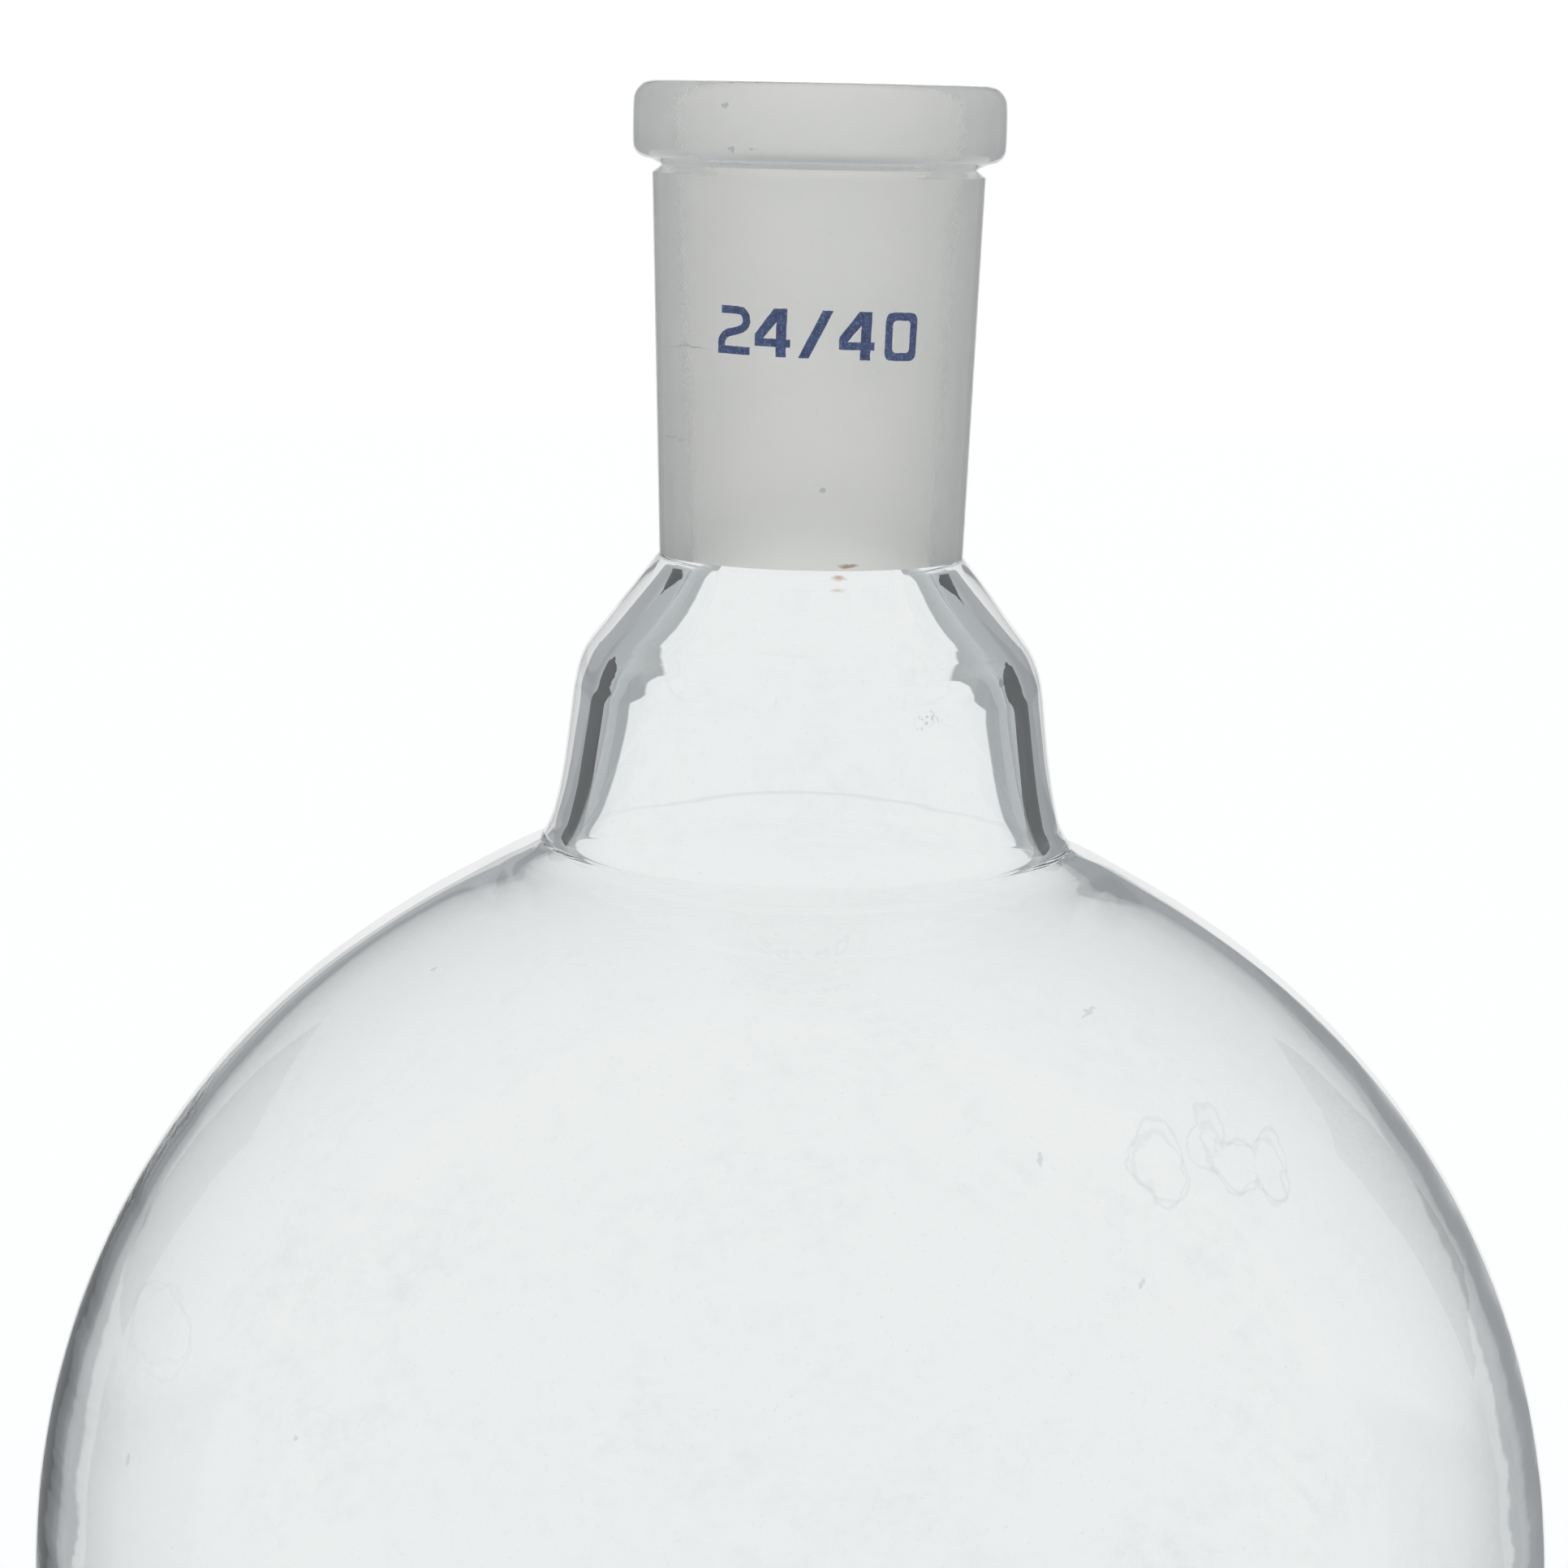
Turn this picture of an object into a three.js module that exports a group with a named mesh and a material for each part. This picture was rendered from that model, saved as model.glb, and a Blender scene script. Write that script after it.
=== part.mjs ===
// Round-bottom flask, one litre, with a 24/40 standard-taper ground joint.
// Millimetres, +Z up along the axis. The origin is on the axis, halfway up the joint's barrel,
// where a stand's clamp grips the flask. The size figures face -Y.

import * as THREE from 'three';
import { mergeVertices } from 'three/addons/utils/BufferGeometryUtils.js';

// Places along the axis are depths below the mouth's flat top face.
const MOUTH_Z = 23.5;
const PIECE_GAP = 0.3;
const AROUND = 56;

// Ground joint: a 1:10 taper, 24 mm wide at the mouth and 40 mm long.
const BORE_TOP_RADIUS = 12.0;
const BORE_BOTTOM_RADIUS = 10.0;
const GROUND_LENGTH = 40.0;
const MOUTH_CHAMFER = 0.4;

// Rim bead around the mouth, and the groove under it.
const RIM_RADIUS = 15.5;
const RIM_HEIGHT = 6.4;
const RIM_TOP_ROUNDING = 1.7;
const RIM_BOTTOM_ROUNDING = 1.3;
const GROOVE_RADIUS = 13.1;
const GROOVE_DEPTH = 6.9;

// Outside of the barrel, which narrows downwards with the bore.
const BARREL_TOP_DEPTH = 7.5;
const BARREL_TOP_RADIUS = 13.87;
const BARREL_BOTTOM_DEPTH = 39.2;
const BARREL_BOTTOM_RADIUS = 12.78;

// Where one formed stretch of glass gives way to the next.
const TAIL_END_DEPTH = 46.4;
const SEAL_END_DEPTH = 49.4;
const NECK_END_DEPTH = 63.6;

// Free-blown outline from the barrel to the bulb's shoulder, as [radius, depth].
const OUTSIDE_STATIONS = [
  [12.78, 39.2], [13.4, 40.0], [15.1, 42.2], [17.2, 45.0], [18.6, 46.8], [19.35, 48.4],
  [19.85, 50.6], [20.35, 55.0], [20.8, 58.2], [21.45, 61.2], [22.1, 63.0], [22.7, 63.75],
  [23.8, 64.3], [25.6, 65.15], [28.3, 66.65], [31.2, 68.3],
];
const INSIDE_STATIONS = [
  [10.0, 40.0], [10.2, 41.2], [11.0, 42.5], [12.3, 44.2], [13.6, 45.8], [14.6, 47.0],
  [15.6, 48.2], [16.2, 49.1], [16.9, 50.9], [17.2, 52.7], [17.55, 55.2], [18.0, 57.8],
  [18.6, 60.2], [19.3, 62.4], [20.0, 64.0], [20.9, 64.9], [22.4, 66.0], [25.0, 67.22],
];

// Bulb: two spheres, the inner one a little lower, as the wall is thinnest at the bottom.
const BULB_RADIUS = 65.0;
const BULB_CENTRE_DEPTH = 125.5;
const BULB_INNER_RADIUS = 63.5;
const BULB_INNER_CENTRE_DEPTH = 125.65;
const SHOULDER_OUTSIDE_RADIUS = 34.5;
const SHOULDER_INSIDE_RADIUS = 28.5;
const STEPS_ABOVE_EQUATOR = 8;
const STEPS_BELOW_EQUATOR = 12;

// Fired enamel size figures on the barrel.
const FIGURE_HEIGHT = 3.9;
const FIGURE_WIDTH = 2.95;
const FIGURE_STROKE = 0.64;
const FIGURE_STEM = 0.85;
const FIGURE_CENTRE_DEPTH = 20.0;
const FIGURES_TILT_DEG = 1.2;
const ENAMEL_LIFT = 0.2;
const ENAMEL_THICKNESS = 0.25;

const clearGlass = new THREE.MeshStandardMaterial({
  color: 0xe6eceb, roughness: 0.02, metalness: 0, transparent: true, opacity: 0.35,
});
const groundGlass = new THREE.MeshStandardMaterial({
  color: 0xd0d0cc, roughness: 0.6, metalness: 0, transparent: true, opacity: 0.8,
});
const blueEnamel = new THREE.MeshStandardMaterial({ color: 0x46588c, roughness: 0.45, metalness: 0 });

// Points of a circular arc in the [radius, depth] plane; 0 degrees points outwards, 90 upwards.
function arc(centreRadius, centreDepth, radius, fromDeg, toDeg, steps) {
  const points = [];
  for (let i = 0; i <= steps; i += 1) {
    const angle = THREE.MathUtils.degToRad(fromDeg + ((toDeg - fromDeg) * i) / steps);
    points.push([centreRadius + radius * Math.cos(angle), centreDepth - radius * Math.sin(angle)]);
  }
  return points;
}

// Smooth outline through stations, cut to the stretch between two depths.
function stretch(stations, fromDepth, toDepth, steps) {
  const curve = new THREE.SplineCurve(stations.map(([radius, depth]) => new THREE.Vector2(radius, depth)));
  const radiusAt = (depth) => {
    let low = 0;
    let high = 1;
    for (let i = 0; i < 40; i += 1) {
      const middle = (low + high) / 2;
      if (curve.getPoint(middle).y < depth) low = middle;
      else high = middle;
    }
    return curve.getPoint(low).x;
  };
  const points = [];
  for (let i = 0; i <= steps; i += 1) {
    const depth = fromDepth + ((toDepth - fromDepth) * i) / steps;
    points.push([radiusAt(depth), depth]);
  }
  return points;
}

function boreRadius(depth) {
  return THREE.MathUtils.mapLinear(depth, 0, GROUND_LENGTH, BORE_TOP_RADIUS, BORE_BOTTOM_RADIUS);
}

function barrelRadius(depth) {
  return THREE.MathUtils.mapLinear(
    depth, BARREL_TOP_DEPTH, BARREL_BOTTOM_DEPTH, BARREL_TOP_RADIUS, BARREL_BOTTOM_RADIUS,
  );
}

// A closed turned solid: up the outside, over the top, down the inside. Both outlines run downwards,
// and both end on the axis or neither does.
function turnedMesh(name, outside, inside, material) {
  const loop = [...outside].reverse().concat(inside);
  const endsOnAxis = loop[0][0] === 0;
  if (!endsOnAxis) loop.push(loop[0]);
  const points = loop.map(([radius, depth]) => new THREE.Vector2(radius, MOUTH_Z - depth));
  const turned = new THREE.LatheGeometry(points, AROUND);
  turned.rotateX(Math.PI / 2);
  turned.deleteAttribute('uv');
  turned.deleteAttribute('normal');
  const geometry = mergeVertices(turned, 1e-5);
  geometry.computeVertexNormals();
  const mesh = new THREE.Mesh(geometry, material);
  mesh.name = name;
  return mesh;
}

function jointRim() {
  const flatEdge = RIM_RADIUS - RIM_TOP_ROUNDING;
  const underside = RIM_RADIUS - RIM_BOTTOM_ROUNDING;
  const end = GROOVE_DEPTH - PIECE_GAP / 2;
  const outside = [
    ...arc(flatEdge, RIM_TOP_ROUNDING, RIM_TOP_ROUNDING, 90, 0, 5),
    ...arc(underside, RIM_HEIGHT - RIM_BOTTOM_ROUNDING, RIM_BOTTOM_ROUNDING, 0, -90, 5),
    [GROOVE_RADIUS, end],
  ];
  const inside = [
    [boreRadius(0) + MOUTH_CHAMFER, 0],
    [boreRadius(MOUTH_CHAMFER), MOUTH_CHAMFER],
    [boreRadius(end), end],
  ];
  return turnedMesh('joint_rim', outside, inside, groundGlass);
}

function jointBarrel() {
  const start = GROOVE_DEPTH + PIECE_GAP / 2;
  const end = GROUND_LENGTH - PIECE_GAP / 2;
  const outside = [
    [GROOVE_RADIUS, start],
    [BARREL_TOP_RADIUS - 0.3, BARREL_TOP_DEPTH - 0.2],
    [BARREL_TOP_RADIUS, BARREL_TOP_DEPTH],
    ...stretch(OUTSIDE_STATIONS, BARREL_BOTTOM_DEPTH, end, 2),
  ];
  const inside = [[boreRadius(start), start], [boreRadius(end), end]];
  return turnedMesh('joint_barrel', outside, inside, groundGlass);
}

// One stretch of the free-blown wall between two depths.
function blownStretch(name, fromDepth, toDepth, steps) {
  const start = fromDepth + PIECE_GAP / 2;
  const end = toDepth - PIECE_GAP / 2;
  const outside = stretch(OUTSIDE_STATIONS, start, end, steps);
  const inside = stretch(INSIDE_STATIONS, start, end, steps);
  return turnedMesh(name, outside, inside, clearGlass);
}

// Outline of a sphere from its shoulder, past the equator and down to the bottom on the axis.
function sphereBelow(shoulderRadius, radius, centreDepth) {
  const shoulderDeg = THREE.MathUtils.radToDeg(Math.acos(shoulderRadius / radius));
  const above = arc(0, centreDepth, radius, shoulderDeg, 0, STEPS_ABOVE_EQUATOR);
  const below = arc(0, centreDepth, radius, 0, -90, STEPS_BELOW_EQUATOR).slice(1, -1);
  return [...above, ...below, [0, centreDepth + radius]];
}

function bulb() {
  const start = NECK_END_DEPTH + PIECE_GAP / 2;
  const outside = [
    ...stretch(OUTSIDE_STATIONS, start, OUTSIDE_STATIONS.at(-1)[1], 8),
    ...sphereBelow(SHOULDER_OUTSIDE_RADIUS, BULB_RADIUS, BULB_CENTRE_DEPTH),
  ];
  const inside = [
    ...stretch(INSIDE_STATIONS, start, INSIDE_STATIONS.at(-1)[1], 5),
    ...sphereBelow(SHOULDER_INSIDE_RADIUS, BULB_INNER_RADIUS, BULB_INNER_CENTRE_DEPTH),
  ];
  return turnedMesh('bulb', outside, inside, clearGlass);
}

// Outline of a pen stroke that follows a path, with square ends and mitred corners.
function strokeShape(path, divisions) {
  const line = path.getPoints(divisions).filter((p, i, all) => i === 0 || p.distanceTo(all[i - 1]) > 1e-6);
  const half = FIGURE_STROKE / 2;
  const left = [];
  const right = [];
  line.forEach((point, i) => {
    const before = point.clone().sub(line[Math.max(i - 1, 0)]).normalize();
    const after = line[Math.min(i + 1, line.length - 1)].clone().sub(point).normalize();
    const along = before.add(after).normalize();
    const across = new THREE.Vector2(-along.y, along.x);
    const turn = i === 0 || i === line.length - 1 ? 1 : Math.abs(along.dot(after));
    left.push(point.clone().addScaledVector(across, half / turn));
    right.push(point.clone().addScaledVector(across, -half / turn));
  });
  return new THREE.Shape([...left, ...right.reverse()]);
}

function figureTwo() {
  const right = FIGURE_WIDTH / 2 - FIGURE_STROKE / 2;
  const top = FIGURE_HEIGHT - FIGURE_STROKE / 2;
  const foot = FIGURE_STROKE / 2;
  const path = new THREE.Path();
  path.moveTo(-right, top);
  path.lineTo(0.3, top);
  path.quadraticCurveTo(right, top, right, top - 0.9);
  path.quadraticCurveTo(right, top - 1.4, 0.35, top - 1.65);
  path.lineTo(-0.6, foot + 1.35);
  path.quadraticCurveTo(-right, foot + 1.05, -right, foot + 0.55);
  path.lineTo(-right, foot);
  path.lineTo(FIGURE_WIDTH / 2, foot);
  return strokeShape(path, 4);
}

function figureFour() {
  const left = -FIGURE_WIDTH / 2;
  const stemLeft = 0.3;
  const stemRight = stemLeft + FIGURE_STEM;
  const barBottom = 0.8;
  const barTop = barBottom + FIGURE_STROKE;
  const outline = [
    [stemLeft, 0], [stemRight, 0], [stemRight, barBottom], [-left, barBottom], [-left, barTop],
    [stemRight, barTop], [stemRight, FIGURE_HEIGHT], [stemLeft - 0.2, FIGURE_HEIGHT],
    [left, barTop + 0.35], [left, barBottom], [stemLeft, barBottom],
  ];
  const shape = new THREE.Shape(outline.map(([x, y]) => new THREE.Vector2(x, y)));
  const eye = [[stemLeft, barTop], [stemLeft, FIGURE_HEIGHT - 1.1], [left + 0.68, barTop]];
  shape.holes.push(new THREE.Path(eye.map(([x, y]) => new THREE.Vector2(x, y))));
  return shape;
}

function slash() {
  const halfWidth = 1.35;
  const foot = FIGURE_STEM;
  const outline = [
    [-halfWidth, 0], [foot - halfWidth, 0], [halfWidth, FIGURE_HEIGHT], [halfWidth - foot, FIGURE_HEIGHT],
  ];
  return new THREE.Shape(outline.map(([x, y]) => new THREE.Vector2(x, y)));
}

function roundedBox(path, halfWidth, bottom, top, rounding) {
  path.moveTo(halfWidth, bottom + rounding);
  path.lineTo(halfWidth, top - rounding);
  path.quadraticCurveTo(halfWidth, top, halfWidth - rounding, top);
  path.lineTo(rounding - halfWidth, top);
  path.quadraticCurveTo(-halfWidth, top, -halfWidth, top - rounding);
  path.lineTo(-halfWidth, bottom + rounding);
  path.quadraticCurveTo(-halfWidth, bottom, rounding - halfWidth, bottom);
  path.lineTo(halfWidth - rounding, bottom);
  path.quadraticCurveTo(halfWidth, bottom, halfWidth, bottom + rounding);
  return path;
}

function figureNought() {
  const halfWidth = FIGURE_WIDTH / 2;
  const shape = roundedBox(new THREE.Shape(), halfWidth, 0, FIGURE_HEIGHT, 0.7);
  const inset = FIGURE_STROKE;
  shape.holes.push(
    roundedBox(new THREE.Path(), halfWidth - inset, inset, FIGURE_HEIGHT - inset, 0.4),
  );
  return shape;
}

// A flat figure, printed a little askew, wrapped round the tapered barrel at an angle from the
// front and standing off the glass by the enamel's lift.
function enamelMesh(name, shape, angleDeg) {
  const extruded = new THREE.ExtrudeGeometry(shape, {
    depth: ENAMEL_THICKNESS, bevelEnabled: false, curveSegments: 4,
  });
  extruded.deleteAttribute('uv');
  extruded.deleteAttribute('normal');
  const geometry = mergeVertices(extruded, 1e-5);
  const wrapRadius = barrelRadius(FIGURE_CENTRE_DEPTH);
  geometry.translate(wrapRadius * THREE.MathUtils.degToRad(angleDeg), -FIGURE_HEIGHT / 2, 0);
  geometry.rotateZ(-THREE.MathUtils.degToRad(FIGURES_TILT_DEG));
  const positions = geometry.attributes.position;
  for (let i = 0; i < positions.count; i += 1) {
    const depth = FIGURE_CENTRE_DEPTH - positions.getY(i);
    const angle = positions.getX(i) / wrapRadius;
    const radius = barrelRadius(depth) + ENAMEL_LIFT + positions.getZ(i);
    positions.setXYZ(i, radius * Math.sin(angle), -radius * Math.cos(angle), MOUTH_Z - depth);
  }
  geometry.computeVertexNormals();
  const mesh = new THREE.Mesh(geometry, blueEnamel);
  mesh.name = name;
  return mesh;
}

const flask = new THREE.Group();
flask.add(
  jointRim(),
  jointBarrel(),
  blownStretch('joint_tail', GROUND_LENGTH, TAIL_END_DEPTH, 6),
  blownStretch('seal_ring', TAIL_END_DEPTH, SEAL_END_DEPTH, 4),
  blownStretch('flask_neck', SEAL_END_DEPTH, NECK_END_DEPTH, 10),
  bulb(),
  enamelMesh('size_figure_2', figureTwo(), -29.5),
  enamelMesh('size_figure_4_first', figureFour(), -15),
  enamelMesh('size_slash', slash(), 0),
  enamelMesh('size_figure_4_second', figureFour(), 14.5),
  enamelMesh('size_figure_0', figureNought(), 31),
);

export default flask;
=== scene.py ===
import math

import bmesh
import bpy
import numpy as np
from mathutils import Matrix, Vector, noise


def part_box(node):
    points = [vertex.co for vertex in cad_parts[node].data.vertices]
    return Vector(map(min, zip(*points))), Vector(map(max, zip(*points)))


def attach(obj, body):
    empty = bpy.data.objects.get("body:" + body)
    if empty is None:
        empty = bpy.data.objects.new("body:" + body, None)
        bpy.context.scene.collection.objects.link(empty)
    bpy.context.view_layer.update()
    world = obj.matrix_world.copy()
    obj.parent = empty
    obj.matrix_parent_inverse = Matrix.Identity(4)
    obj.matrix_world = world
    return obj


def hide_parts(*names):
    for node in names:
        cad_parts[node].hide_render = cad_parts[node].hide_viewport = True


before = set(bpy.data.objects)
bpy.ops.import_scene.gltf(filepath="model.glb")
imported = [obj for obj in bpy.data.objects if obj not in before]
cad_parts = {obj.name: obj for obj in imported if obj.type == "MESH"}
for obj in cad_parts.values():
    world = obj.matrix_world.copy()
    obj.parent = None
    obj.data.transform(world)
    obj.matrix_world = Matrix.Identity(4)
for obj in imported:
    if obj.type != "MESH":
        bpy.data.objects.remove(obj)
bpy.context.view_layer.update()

MM = 0.001

# The six stretches of glass, from the mouth down, and the enamel size figures.
GLASS = ["joint_rim", "joint_barrel", "joint_tail", "seal_ring", "flask_neck", "bulb"]
FIGURES = [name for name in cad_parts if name.startswith("size_")]

MOUTH_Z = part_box("joint_rim")[1].z
GROUND_END_Z = MOUTH_Z - 40 * MM
BOTTOM_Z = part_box("bulb")[0].z

# The glass is turned in this many steps, and an outline bends by at most this much a step.
AROUND = 192
BEND_STEP = math.radians(2.0)
CORNER = math.radians(30.0)

# Where the bulb's outline comes this near to its sphere, it is eased onto it over this length.
NEAR_SPHERE = 0.16 * MM
EASE_LENGTH = 9 * MM

# Blown glass wanders from a true circle by these amplitudes, and fully so this far below the ground joint.
OVAL = 0.06 * MM
LOBES = 0.04 * MM
DRAWN_RINGS = 0.009 * MM
WANDER_IN = 8 * MM

# Enamel: thickness of the film and its height off the glass, length of its mesh's edges, and how far its
# printed outline wanders.
FILM = 0.05 * MM
FILM_LIFT = 0.01 * MM
FILM_EDGE = 0.16 * MM
PRINT_WANDER = 0.035 * MM

GLASS_IOR = 1.473

# Camera: focal length in widths of the frame, distance from the axis, height over the mouth, and turns.
FOCAL_WIDTHS = 2.83437
CAMERA_DISTANCE = 372.5 * MM
CAMERA_RISE = 0.63 * MM
CAMERA_PITCH, CAMERA_ROLL, CAMERA_YAW = (math.radians(a) for a in (9.07, 1.16, -0.29))

# Studio: brightness of the walls by the angle in degrees from the middle of a tall soft box that shines
# behind the flask, with grey flags beside it.
BOX_BOTTOM = math.radians(-25.0)
BOX_TOP = math.radians(-4.5)
WALLS = [(0, 0.86), (16.2, 0.86), (16.8, 0.31), (32, 0.33), (36, 0.42), (50, 0.44), (54, 0.5),
         (70, 0.72), (80, 0.74), (82, 0.86), (180, 0.82)]
FLAG_TINT = (0.955, 1.0, 1.035)
FLAG_BOTTOM = math.radians(-20.0)
FLAG_EDGE = math.radians(2.0)
PLAIN = 0.85
# A black card on either side behind the flask: its angles sideways and up, distance and brightness.
CARD_SIDES = (math.radians(33.0), math.radians(48.0))
CARD_ENDS = (math.radians(-4.0), math.radians(16.0))
CARD_DISTANCE = 1.9
CARD_GLOW = 0.05


# ---------------------------------------------------------------- camera

def make_camera():
    """The camera stands level with the mouth and looks down a little at the flask's upper half."""
    pitch, roll, yaw = CAMERA_PITCH, CAMERA_ROLL, CAMERA_YAW
    forward = Vector((math.sin(yaw) * math.cos(pitch), math.cos(yaw) * math.cos(pitch), -math.sin(pitch)))
    level = Vector((math.cos(yaw), -math.sin(yaw), 0))
    rise = level.cross(forward)
    right = level * math.cos(roll) + rise * math.sin(roll)
    up = rise * math.cos(roll) - level * math.sin(roll)
    data = bpy.data.cameras.new("camera")
    data.sensor_width = 36
    data.lens = data.sensor_width * FOCAL_WIDTHS
    data.clip_start = 0.01
    data.clip_end = 50
    camera = bpy.data.objects.new("camera", data)
    bpy.context.scene.collection.objects.link(camera)
    place = Matrix((right, up, -forward)).transposed().to_4x4()
    place.translation = (0, -CAMERA_DISTANCE, MOUTH_Z + CAMERA_RISE)
    camera.matrix_world = place
    bpy.context.scene.camera = camera


# ---------------------------------------------------------------- outlines

def cad_chains(node):
    """Outer and inner outline of a turned CAD node, each a list of (radius, z) from the top down."""
    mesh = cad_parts[node].data
    spots = {}
    for vertex in mesh.vertices:
        x, y, z = vertex.co
        if abs(x) < 1e-6 and y < 1e-6:
            spots[vertex.index] = (round(-y, 6), round(z, 6))
    links = {}
    for a, b in mesh.edge_keys:
        if a in spots and b in spots and spots[a][1] != spots[b][1]:
            links.setdefault(spots[a], set()).add(spots[b])
            links.setdefault(spots[b], set()).add(spots[a])
    chains = []
    unseen = set(links)
    while unseen:
        ends = [p for p in unseen if len(links[p]) == 1]
        here = max(ends, key=lambda p: (p[1], p[0]))
        chain = [here]
        unseen.discard(here)
        while ahead := [p for p in links[here] if p in unseen]:
            here = ahead[0]
            chain.append(here)
            unseen.discard(here)
        chains.append(chain)
    chains.sort(key=lambda c: -max(p[0] for p in c))
    return chains[0], chains[1]


def joined(chains):
    """One list of (radius, z, node below) from chains with gaps: a gap's two ends become one point."""
    points = [(*p, GLASS[0]) for p in chains[0]]
    for node, chain in zip(GLASS[1:], chains[1:]):
        r, z, _ = points.pop()
        points.append(((r + chain[0][0]) / 2, (z + chain[0][1]) / 2, node))
        points += [(*p, node) for p in chain[1:]]
    return points


def turn_at(a, b, c):
    """Angle by which a path turns at b."""
    u = np.subtract(b, a)
    v = np.subtract(c, b)
    return abs(math.atan2(u[0] * v[1] - u[1] * v[0], u @ v))


def rounded(a, b, c, d, t):
    """Point at t between b and c on a centripetal spline through four points."""
    a, b, c, d = (np.array(p, float) for p in (a, b, c, d))
    k = [0.0]
    for p, q in ((a, b), (b, c), (c, d)):
        k.append(k[-1] + max(np.linalg.norm(q - p), 1e-9) ** 0.5)
    s = k[1] + (k[2] - k[1]) * t

    def blend(p, q, i, j):
        return ((k[j] - s) * p + (s - k[i]) * q) / (k[j] - k[i])

    ab, bc, cd = blend(a, b, 0, 1), blend(b, c, 1, 2), blend(c, d, 2, 3)
    return blend(blend(ab, bc, 0, 2), blend(bc, cd, 1, 3), 1, 2)


def refined(points):
    """A smooth outline through the CAD's points, with corners kept. Gives (radius, z, node, is corner)."""
    flat = [p[:2] for p in points]
    last = len(flat) - 1
    turns = [0.0] + [turn_at(*flat[i - 1:i + 2]) for i in range(1, last)] + [0.0]
    sharp = [t > CORNER for t in turns]
    fine = []
    for i in range(last):
        b, c = flat[i], flat[i + 1]
        a = flat[i - 1] if i > 0 and not sharp[i] else tuple(2 * np.array(b) - c)
        d = flat[i + 2] if i + 2 <= last and not sharp[i + 1] else tuple(2 * np.array(c) - b)
        bend = sum(t for t, s in ((turns[i], sharp[i]), (turns[i + 1], sharp[i + 1])) if not s)
        steps = max(1, math.ceil(bend / 2 / BEND_STEP))
        for k in range(steps):
            r, z = rounded(a, b, c, d, k / steps)
            fine.append([float(r), float(z), points[i][2], sharp[i] and k == 0])
    fine.append([*points[last], False])
    return fine


def onto_sphere(fine, radius, centre_z):
    """Eases the bulb's outline below its shoulder onto a true sphere."""
    start, above = None, 0.0
    for point in fine:
        out = math.hypot(point[0], point[1] - centre_z)
        if start is None and point[2] == "bulb" and out - radius < NEAR_SPHERE:
            start, above = tuple(point[:2]), out - radius
        if start is not None:
            left = max(0.0, 1 - math.dist(start, point[:2]) / EASE_LENGTH) if point[1] > centre_z else 0.0
            share = (radius + above * left ** 2) / out
            point[0] = max(point[0] * share, 0.0)
            point[1] = centre_z + (point[1] - centre_z) * share


# ---------------------------------------------------------------- glass pieces

def hand_made(r, z, angle, side):
    """How far the blown glass wanders from a true circle here; the ground joint is true."""
    below = min(1.0, max(0.0, (GROUND_END_Z - z) / WANDER_IN))
    off_axis = min(1.0, r / (20 * MM))
    shift = 0.0 if side == "outer" else 1.7
    oval = math.sin(2 * angle + 0.8 + shift) * OVAL
    lobes = math.sin(3 * angle + z * 60 + 2.1 * shift) * LOBES
    rings = math.sin(z * 900 + 1.3 * math.sin(angle + shift)) * DRAWN_RINGS
    return (oval + lobes + rings) * below * off_axis


def surface(fine, side):
    """Points of a turned surface, one row for each point of the outline."""
    angles = [2 * math.pi * k / AROUND for k in range(AROUND)]
    rows = []
    for r, z, _, _ in fine:
        rows.append([((r + hand_made(r, z, a, side)) * math.sin(a) if r else 0.0,
                      -(r + hand_made(r, z, a, side)) * math.cos(a) if r else 0.0, z) for a in angles])
    return np.array(rows)


def surface_normals(rows, fine, outward):
    """Normals at the start and end of each step of the outline, one row for each step."""
    around = np.roll(rows, -1, 1) - np.roll(rows, 1, 1)
    count = len(fine)

    def normals(low, high, at):
        along = rows[high] - rows[low]
        out = np.cross(along, around[at]) * outward
        size = np.linalg.norm(out, axis=1, keepdims=True)
        pole = np.array([0.0, 0.0, -outward])
        return np.where(size > 1e-15, out / np.maximum(size, 1e-15), pole)

    starts, ends = [], []
    for i in range(count - 1):
        before = i if i == 0 or fine[i][3] else i - 1
        after = i + 1 if i + 1 == count - 1 or fine[i + 1][3] else i + 2
        starts.append(normals(before, i + 1, i))
        ends.append(normals(i, after, i + 1))
    return starts, ends


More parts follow.
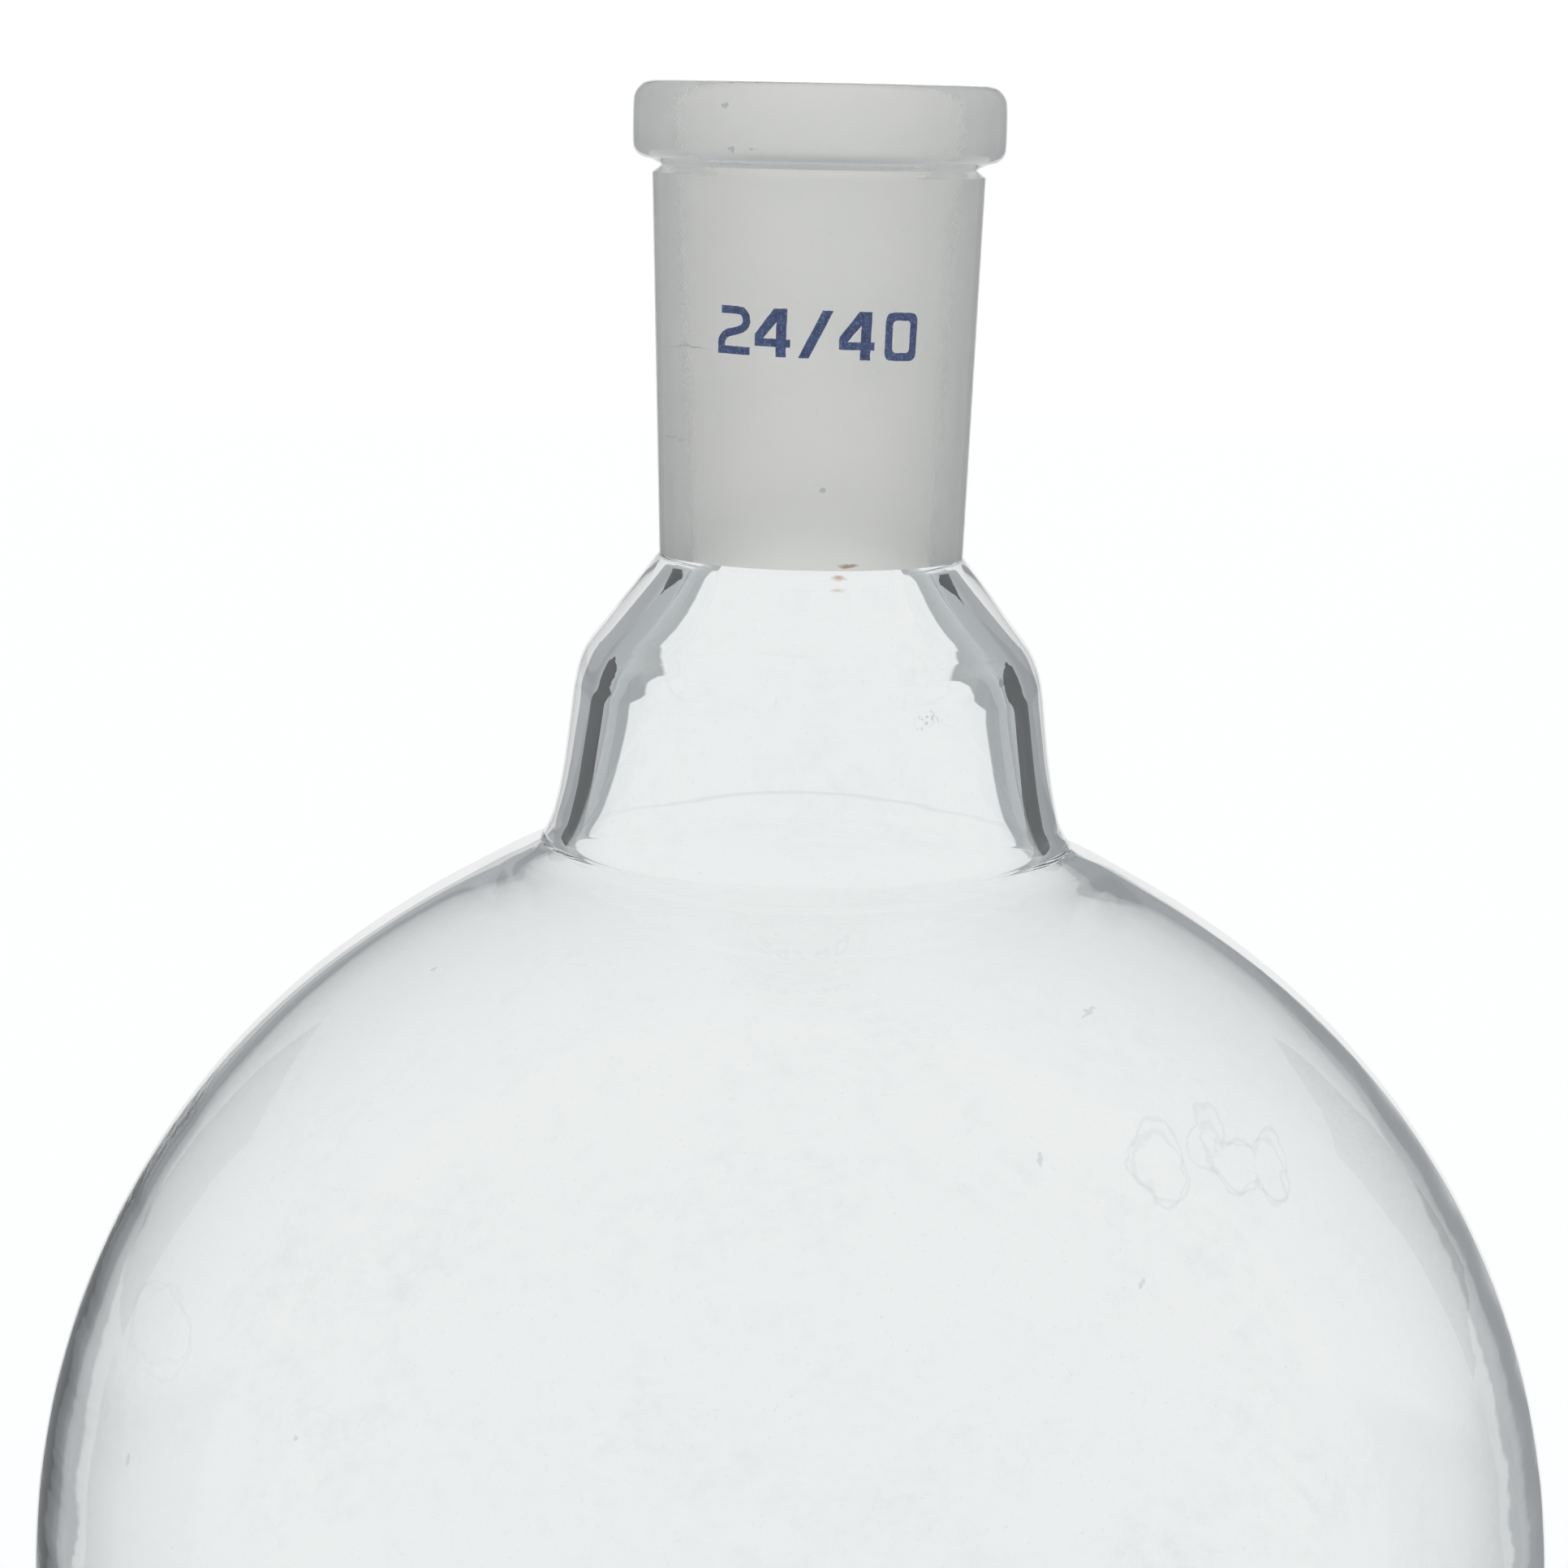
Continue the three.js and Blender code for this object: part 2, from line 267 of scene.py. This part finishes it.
def glass_piece(node, outer, inner, materials):
    """Closed mesh of one stretch of the wall: outside, inside and the faces it shares with its neighbours."""
    mesh_points, faces, corners, slots = [], [], [], []

    def add_ring(row, r):
        first = len(mesh_points)
        if r < 1e-9:
            mesh_points.append(tuple(row[0]))
            return [first] * AROUND
        mesh_points.extend(map(tuple, row))
        return list(range(first, first + AROUND))

    def add_band(high, low, normal_high, normal_low, slot, flipped):
        for k in range(AROUND):
            n = (k + 1) % AROUND
            quad = [(high[k], normal_high[k]), (low[k], normal_low[k]),
                    (low[n], normal_low[n]), (high[n], normal_high[n])]
            if flipped:
                quad.reverse()
            kept = [c for j, c in enumerate(quad) if c[0] != quad[j - 1][0]]
            faces.append([c[0] for c in kept])
            corners.extend(c[1] for c in kept)
            slots.append(slot)

    ends = []
    for side, flipped in ((outer, False), (inner, True)):
        fine, rows, (starts, stops) = side
        steps = [i for i in range(len(fine) - 1) if fine[i][2] == node]
        rings = {i: add_ring(rows[i], fine[i][0]) for i in (*steps, steps[-1] + 1)}
        for i in steps:
            ground = flipped and (fine[i][1] + fine[i + 1][1]) / 2 > GROUND_END_Z
            add_band(rings[i], rings[i + 1], starts[i], stops[i], 1 if ground else 0, flipped)
        ends.append((rings[steps[0]], rings[steps[-1] + 1]))
    (outer_top, outer_end), (inner_top, inner_end) = ends
    up = np.tile((0.0, 0.0, 1.0), (AROUND, 1))
    add_band(inner_top, outer_top, up, up, 0 if node == GLASS[0] else 2, False)
    if node != GLASS[-1]:
        add_band(inner_end, outer_end, -up, -up, 2, True)

    mesh = bpy.data.meshes.new(node + "_glass")
    mesh.from_pydata(mesh_points, [], faces)
    for material in materials:
        mesh.materials.append(material)
    mesh.polygons.foreach_set("material_index", slots)
    mesh.polygons.foreach_set("use_smooth", [True] * len(faces))
    mesh.normals_split_custom_set([tuple(n) for n in corners])
    piece = bpy.data.objects.new(node + "_glass", mesh)
    bpy.context.scene.collection.objects.link(piece)
    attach(piece, "root")
    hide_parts(node)
    return piece


# ---------------------------------------------------------------- enamel figures

def enamel_piece(node, barrel_radius, material):
    """The CAD's figure as a thin film lying on the barrel, with the uneven edge of a print."""
    build = bmesh.new()
    build.from_mesh(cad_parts[node].data)
    bmesh.ops.remove_doubles(build, verts=build.verts, dist=1e-6)
    front = build.verts.layers.float.new("front")
    depth = [math.hypot(v.co.x, v.co.y) - barrel_radius(v.co.z) for v in build.verts]
    middle = (min(depth) + max(depth)) / 2
    for vertex, d in zip(build.verts, depth):
        vertex[front] = 1.0 if d > middle else 0.0
    for _ in range(3):
        long_edges = [e for e in build.edges if e.calc_length() > FILM_EDGE]
        bmesh.ops.subdivide_edges(build, edges=long_edges, cuts=1)
        bmesh.ops.triangulate(build, faces=[f for f in build.faces if len(f.verts) > 3])
    for vertex in build.verts:
        x, y, z = vertex.co
        angle = math.atan2(x, -y)
        along = angle * barrel_radius(z)
        wander = noise.noise_vector(Vector((along, z, 0)) * 2600) * PRINT_WANDER
        z += wander.y
        angle += wander.x / barrel_radius(z)
        r = barrel_radius(z) + FILM_LIFT + vertex[front] * FILM
        vertex.co = (r * math.sin(angle), -r * math.cos(angle), z)
    mesh = bpy.data.meshes.new(node + "_enamel")
    build.to_mesh(mesh)
    build.free()
    mesh.materials.append(material)
    piece = bpy.data.objects.new(node + "_enamel", mesh)
    bpy.context.scene.collection.objects.link(piece)
    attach(piece, "root")
    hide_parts(node)
    return piece


# ---------------------------------------------------------------- materials

class Tree:
    """Short calls for adding nodes to a material's or a world's tree."""

    def __init__(self, tree):
        self.tree = tree

    def add(self, kind, settings=None, **values):
        node = self.tree.nodes.new(kind)
        for name, value in (settings or {}).items():
            setattr(node, name, value)
        for name, value in values.items():
            self.put(node, name.replace("_", " "), value)
        return node

    def put(self, node, name, value):
        socket = node.inputs[name] if isinstance(name, int) else next(
            s for s in node.inputs if s.name == name and s.enabled)
        if isinstance(value, bpy.types.NodeSocket):
            self.tree.links.new(value, socket)
        else:
            socket.default_value = value

    def math(self, operation, *values):
        node = self.add("ShaderNodeMath", {"operation": operation})
        for i, value in enumerate(values):
            self.put(node, i, value)
        return node.outputs[0]

    def vector(self, operation, *values):
        node = self.add("ShaderNodeVectorMath", {"operation": operation})
        for i, value in enumerate(values):
            self.put(node, i, value)
        return node.outputs["Value" if operation in ("LENGTH", "DOT_PRODUCT", "DISTANCE") else "Vector"]

    def noise(self, place, scale, detail=3.0, roughness=0.5):
        node = self.add("ShaderNodeTexNoise", Vector=place, Scale=scale, Detail=detail, Roughness=roughness)
        return node.outputs["Fac"]

    def spread(self, value, low, high, to_low=0.0, to_high=1.0):
        node = self.add("ShaderNodeMapRange", Value=value, From_Min=low, From_Max=high,
                        To_Min=to_low, To_Max=to_high)
        return node.outputs["Result"]

    def mix(self, share, a, b):
        node = self.add("ShaderNodeMix", {"data_type": "RGBA"}, Factor=share, A=a, B=b)
        return next(s for s in node.outputs if s.enabled)

    def bump(self, height, distance, strength=1.0):
        return self.add("ShaderNodeBump", Height=height, Distance=distance, Strength=strength).outputs[0]


def new_material(name):
    material = bpy.data.materials.new(name)
    material.use_nodes = True
    tree = Tree(material.node_tree)
    shader = material.node_tree.nodes["Principled BSDF"]
    place = tree.add("ShaderNodeTexCoord").outputs["Object"]
    return material, tree, shader, place


def stretched(tree, place, scale):
    return tree.add("ShaderNodeMapping", Vector=place, Scale=scale).outputs[0]


def reach(tree, place, centre, half):
    """Distance from a point over an ellipsoid's half-sizes, in millimetres: 1 on its surface."""
    away = tree.vector("SUBTRACT", place, [c * MM for c in centre])
    return tree.vector("LENGTH", tree.vector("DIVIDE", away, [h * MM for h in half]))


def blot(tree, place, centre, half, soft=0.35):
    """Share 0 to 1: inside an ellipsoid."""
    return tree.spread(reach(tree, place, centre, half), 1.0, 1.0 - soft)


def dried_drop(tree, place, ellipsoids, line):
    """Share 0 to 1: on the edge line around one or more ellipsoids run together."""
    away = reach(tree, place, *ellipsoids[0])
    for ellipsoid in ellipsoids[1:]:
        away = tree.math("SMOOTH_MIN", away, reach(tree, place, *ellipsoid), 0.25)
    return tree.spread(tree.math("ABSOLUTE", tree.math("SUBTRACT", away, 1.0)), line, line / 3)


def ragged(tree, place, scale, distance):
    """The place shifted about, for marks with uneven edges."""
    shift = tree.add("ShaderNodeTexNoise", Vector=place, Scale=scale, Detail=3.0).outputs["Color"]
    shift = tree.vector("SUBTRACT", shift, (0.5, 0.5, 0.5))
    return tree.vector("ADD", place, tree.vector("MULTIPLY", shift, [distance * MM] * 3))


def painted(tree, colour, marks, mark_colour):
    """A colour with marks over it."""
    for mark in marks:
        colour = tree.mix(mark, colour, mark_colour)
    return colour


def clear_glass():
    """Fire-polished glass with faint drawing lines, dust, dried drops, a few small flaws, and a thin ring of
    painted shade along a crease on the back half.
    """
    material, tree, shader, place = new_material("clear_glass")
    smears = tree.noise(place, 60, 5, 0.65)
    flecks = tree.noise(stretched(tree, place, (420, 420, 560)), 1.0, 3, 0.6)
    dust = tree.noise(place, 2600, 2)
    film = tree.math("MULTIPLY", tree.spread(smears, 0.46, 0.72), tree.spread(flecks, 0.46, 0.68))
    grit = tree.spread(dust, 0.68, 0.76)
    colour = tree.mix(film, (0.985, 0.998, 0.996, 1), (0.90, 0.92, 0.92, 1))
    colour = tree.mix(tree.math("MULTIPLY", grit, 0.35), colour, (0.7, 0.7, 0.7, 1))
    rough = ragged(tree, place, 420, 2.4)
    runny = ragged(tree, place, 240, 3.8)
    drops = [
        dried_drop(tree, runny, [((27.6, -38.9, -57.6), (2.4, 4.0, 2.6)),
                                 ((28.4, -38.6, -59.6), (1.6, 4.0, 2.2))], 0.09),
        dried_drop(tree, runny, [((32.0, -35.6, -56.4), (1.5, 4.0, 3.0)),
                                 ((34.2, -34.0, -59.4), (2.2, 4.0, 2.2)),
                                 ((37.0, -32.0, -59.6), (1.6, 4.0, 3.4))], 0.09),
    ]
    colour = painted(tree, colour, drops, (0.85, 0.87, 0.87, 1))
    smudge = dried_drop(tree, runny, [((-50.6, -31.0, -75.6), (3.4, 8.5, 3.0))], 0.07)
    colour = tree.mix(smudge, colour, (0.93, 0.94, 0.94, 1))
    specks = [
        blot(tree, rough, (22.6, -28.8, -48.3), (0.9, 1.6, 0.16)),
        blot(tree, rough, (25.8, -47.0, -65.3), (0.35, 0.5, 0.35)),
        blot(tree, rough, (18.3, -43.2, -57.0), (0.3, 0.4, 0.8)),
        blot(tree, rough, (-29.5, -20.0, -47.6), (0.4, 0.4, 0.3)),
        blot(tree, rough, (-37.6, -47.6, -78.8), (0.4, 0.5, 0.4)),
        blot(tree, rough, (-52.7, -34.1, -85.2), (0.5, 0.5, 0.4)),
    ]
    colour = painted(tree, colour, specks, (0.66, 0.69, 0.70, 1))
    stain = tree.math("MULTIPLY", blot(tree, rough, (9.8, -17.2, -27.1), (1.5, 2.0, 1.0), 0.6),
                      tree.spread(tree.noise(place, 3000, 3), 0.5, 0.62))
    bubble = blot(tree, place, (15.8, -11.1, -24.8), (0.28, 1.2, 0.45))
    colour = painted(tree, colour, [stain, bubble], (0.45, 0.48, 0.52, 1))
    parts = tree.add("ShaderNodeSeparateXYZ", Vector=place).outputs
    # Painted shade: a thin darker ring along the crease at one height, on the back half only.
    crease_shade = tree.math("ABSOLUTE", tree.math("ADD", parts["Z"], 38.4 * MM))
    crease_shade = tree.math("MULTIPLY", tree.spread(crease_shade, 0.16 * MM, 0.05 * MM),
                       tree.spread(parts["Y"], -5 * MM, 6 * MM))
    colour = tree.mix(crease_shade, colour, (0.87, 0.89, 0.90, 1))
    residue = blot(tree, ragged(tree, place, 900, 0.8), (2.2, -11.4, -17.2), (0.95, 3.4, 0.34), 0.5)
    tree.put(shader, "Base Color", tree.mix(residue, colour, (0.42, 0.24, 0.15, 1)))
    tree.put(shader, "Roughness", tree.math("MULTIPLY", film, 0.06))
    lines = tree.noise(stretched(tree, place, (25, 25, 260)), 1.0, 3)
    tree.put(shader, "Normal", tree.bump(lines, 0.012 * MM))
    shader.inputs["Transmission Weight"].default_value = 1.0
    shader.inputs["IOR"].default_value = GLASS_IOR
    return material


def ground_glass():
    """The finely ground inside of the joint, with grinding rings, hairlines and a brown residue."""
    material, tree, shader, place = new_material("ground_glass")
    rings = tree.noise(stretched(tree, place, (40, 40, 700)), 1.0, 3)
    cloud = tree.noise(place, 130, 3)
    grain = tree.noise(place, 9000, 2)
    colour = tree.mix(rings, (0.99, 0.978, 0.945, 1), (1.0, 0.992, 0.962, 1))
    colour = tree.mix(tree.spread(cloud, 0.45, 0.7, 0.0, 0.35), colour, (0.95, 0.95, 0.935, 1))
    rough = ragged(tree, place, 700, 1.0)
    hairlines = [
        blot(tree, rough, (-9.6, -5.5, 1.9), (2.2, 4.0, 0.09)),
        blot(tree, rough, (-10.2, -3.4, -5.8), (1.4, 3.0, 0.09)),
        blot(tree, rough, (-6.6, -9.5, 18.2), (3.6, 4.0, 0.10)),
        blot(tree, rough, (-7.0, -9.0, 21.6), (0.35, 4.0, 0.25)),
        blot(tree, rough, (0.6, -10.8, -9.3), (0.28, 2.0, 0.28)),
    ]
    colour = painted(tree, colour, hairlines, (0.60, 0.61, 0.60, 1))
    residue = blot(tree, ragged(tree, place, 900, 0.7), (2.9, -10.4, -15.5), (1.0, 2.6, 0.2), 0.5)
    tree.put(shader, "Base Color", tree.mix(residue, colour, (0.40, 0.20, 0.13, 1)))
    tree.put(shader, "Roughness", tree.spread(rings, 0.3, 0.7, 0.64, 0.72))
    tree.put(shader, "Normal", tree.bump(grain, 0.006 * MM))
    shader.inputs["Transmission Weight"].default_value = 0.88
    shader.inputs["IOR"].default_value = GLASS_IOR
    return material


def fused_seam():
    """Where two stretches of glass are one piece: nothing is there to be seen."""
    material, _, shader, _ = new_material("fused_seam")
    shader.inputs["Alpha"].default_value = 0.0
    return material


def blue_enamel():
    """Fired enamel, worn thin in places."""
    material, tree, shader, place = new_material("blue_enamel")
    cloud = tree.noise(place, 1400, 3, 0.6)
    specks = tree.noise(place, 5200, 2)
    worn = tree.math("MULTIPLY", tree.spread(specks, 0.56, 0.68), 0.45)
    ink = tree.mix(tree.spread(cloud, 0.35, 0.65), (0.028, 0.042, 0.125, 1), (0.055, 0.088, 0.21, 1))
    tree.put(shader, "Base Color", tree.mix(worn, ink, (0.22, 0.29, 0.40, 1)))
    tree.put(shader, "Roughness", tree.spread(cloud, 0.3, 0.7, 0.35, 0.6))
    tree.put(shader, "Normal", tree.bump(specks, 0.02 * MM))
    return material


# ---------------------------------------------------------------- studio

def make_world():
    """Soft white walls, with grey flags around the soft box behind that draw the edges."""
    world = bpy.data.worlds.new("studio")
    bpy.context.scene.world = world
    world.use_nodes = True
    tree = Tree(world.node_tree)
    background = world.node_tree.nodes["Background"]
    direction = tree.add("ShaderNodeTexCoord").outputs["Generated"]
    parts = tree.add("ShaderNodeSeparateXYZ", Vector=direction).outputs
    level = tree.math("MINIMUM", tree.math("ARCTAN2", parts["Z"], parts["Y"]), BOX_TOP)
    level = tree.math("MAXIMUM", level, BOX_BOTTOM)
    box = tree.add("ShaderNodeCombineXYZ", Y=tree.math("COSINE", level), Z=tree.math("SINE", level))
    away = tree.math("ARCCOSINE", tree.vector("DOT_PRODUCT", direction, box.outputs[0]))
    walls = tree.add("ShaderNodeValToRGB", Fac=tree.math("DIVIDE", away, math.pi))
    elements = walls.color_ramp.elements
    for degrees, _ in WALLS[1:-1]:
        elements.new(degrees / 180)
    for element, (degrees, value) in zip(elements, WALLS):
        tint = 1.0 if value > PLAIN else FLAG_TINT
        element.position = degrees / 180
        element.color = (*(np.ones(3) * value * tint), 1)
    below = tree.spread(parts["Z"], math.sin(FLAG_BOTTOM), math.sin(FLAG_BOTTOM - FLAG_EDGE))
    tree.put(background, "Color", tree.mix(below, walls.outputs[0], (PLAIN, PLAIN, PLAIN, 1)))


def make_cards():
    """Two black cards, seen only through the glass, that draw the dark cores in the neck's thick wall."""
    material, tree, shader, place = new_material("card_paper")
    tooth = tree.noise(place, 900, 2)
    tree.put(shader, "Base Color", tree.mix(tooth, (0.0, 0.0, 0.0, 1), (0.02, 0.02, 0.02, 1)))
    shader.inputs["Roughness"].default_value = 1.0
    shader.inputs["Specular IOR Level"].default_value = 0.0
    shader.inputs["Emission Color"].default_value = (*FLAG_TINT, 1)
    shader.inputs["Emission Strength"].default_value = CARD_GLOW
    low, high = CARD_ENDS
    for name, turn in (("card_left", -1), ("card_right", 1)):
        near, far = (turn * side for side in CARD_SIDES)
        corners = [Vector((math.sin(side) * math.cos(rise), math.cos(side) * math.cos(rise), math.sin(rise)))
                   * CARD_DISTANCE for side, rise in ((near, low), (far, low), (far, high), (near, high))]
        mesh = bpy.data.meshes.new(name)
        mesh.from_pydata(corners, [], [(0, 1, 2, 3)])
        mesh.materials.append(material)
        card = bpy.data.objects.new(name, mesh)
        bpy.context.scene.collection.objects.link(card)
        card.visible_camera = False
        card.visible_glossy = False
        card.visible_diffuse = False
        card.visible_shadow = False


def make_cove():
    """A plain pale floor that curves up into a wall on every side, seen only by the camera."""
    floor_radius, curve, height = 2.0, 1.0, 3.0
    outline = [(0.0, 0.0), (floor_radius, 0.0)]
    for k in range(1, 13):
        a = math.pi / 2 * k / 12
        outline.append((floor_radius + curve * math.sin(a), curve * (1 - math.cos(a))))
    outline.append((floor_radius + curve, height))
    build = bmesh.new()
    chain = [build.verts.new((r, 0, BOTTOM_Z + z)) for r, z in outline]
    edges = [build.edges.new(pair) for pair in zip(chain, chain[1:])]
    bmesh.ops.spin(build, geom=chain + edges, cent=(0, 0, 0), axis=(0, 0, 1), dvec=(0, 0, 0),
                   angle=2 * math.pi, steps=96)
    bmesh.ops.remove_doubles(build, verts=build.verts, dist=1e-5)
    bmesh.ops.recalc_face_normals(build, faces=build.faces)
    bmesh.ops.reverse_faces(build, faces=build.faces)
    mesh = bpy.data.meshes.new("cove")
    build.to_mesh(mesh)
    build.free()
    mesh.polygons.foreach_set("use_smooth", [True] * len(mesh.polygons))
    material, tree, shader, place = new_material("cove_paper")
    tooth = tree.noise(place, 300, 2)
    tree.put(shader, "Base Color", tree.mix(tooth, (0.93, 0.93, 0.93, 1), (0.95, 0.95, 0.95, 1)))
    shader.inputs["Roughness"].default_value = 0.9
    shader.inputs["Emission Color"].default_value = (1, 1, 1, 1)
    shader.inputs["Emission Strength"].default_value = 0.3
    mesh.materials.append(material)
    cove = bpy.data.objects.new("cove", mesh)
    bpy.context.scene.collection.objects.link(cove)
    cove.visible_transmission = False
    cove.visible_glossy = False
    cove.visible_diffuse = False
    cove.visible_shadow = False


# ---------------------------------------------------------------- everything together

def build_flask():
    chains = [cad_chains(node) for node in GLASS]
    outer = refined(joined([c[0] for c in chains]))
    inner = refined(joined([c[1] for c in chains]))
    onto_sphere(outer, *max(chains[-1][0]))
    onto_sphere(inner, *max(chains[-1][1]))
    sides = []
    for fine, side, outward in ((outer, "outer", 1), (inner, "inner", -1)):
        rows = surface(fine, side)
        sides.append((fine, rows, surface_normals(rows, fine, outward)))
    glass = [clear_glass(), ground_glass(), fused_seam()]
    for node in GLASS:
        glass_piece(node, *sides, glass)

    heights = [-z for _, z, _, _ in outer]
    radii = [r for r, _, _, _ in outer]
    enamel = blue_enamel()
    for node in FIGURES:
        enamel_piece(node, lambda z: float(np.interp(-z, heights, radii)), enamel)


make_camera()
build_flask()
make_world()
make_cards()
make_cove()

scene = bpy.context.scene
scene.view_settings.view_transform = "Standard"
scene.cycles.max_bounces = 48
scene.cycles.glossy_bounces = 48
scene.cycles.transmission_bounces = 48
scene.cycles.transparent_max_bounces = 48
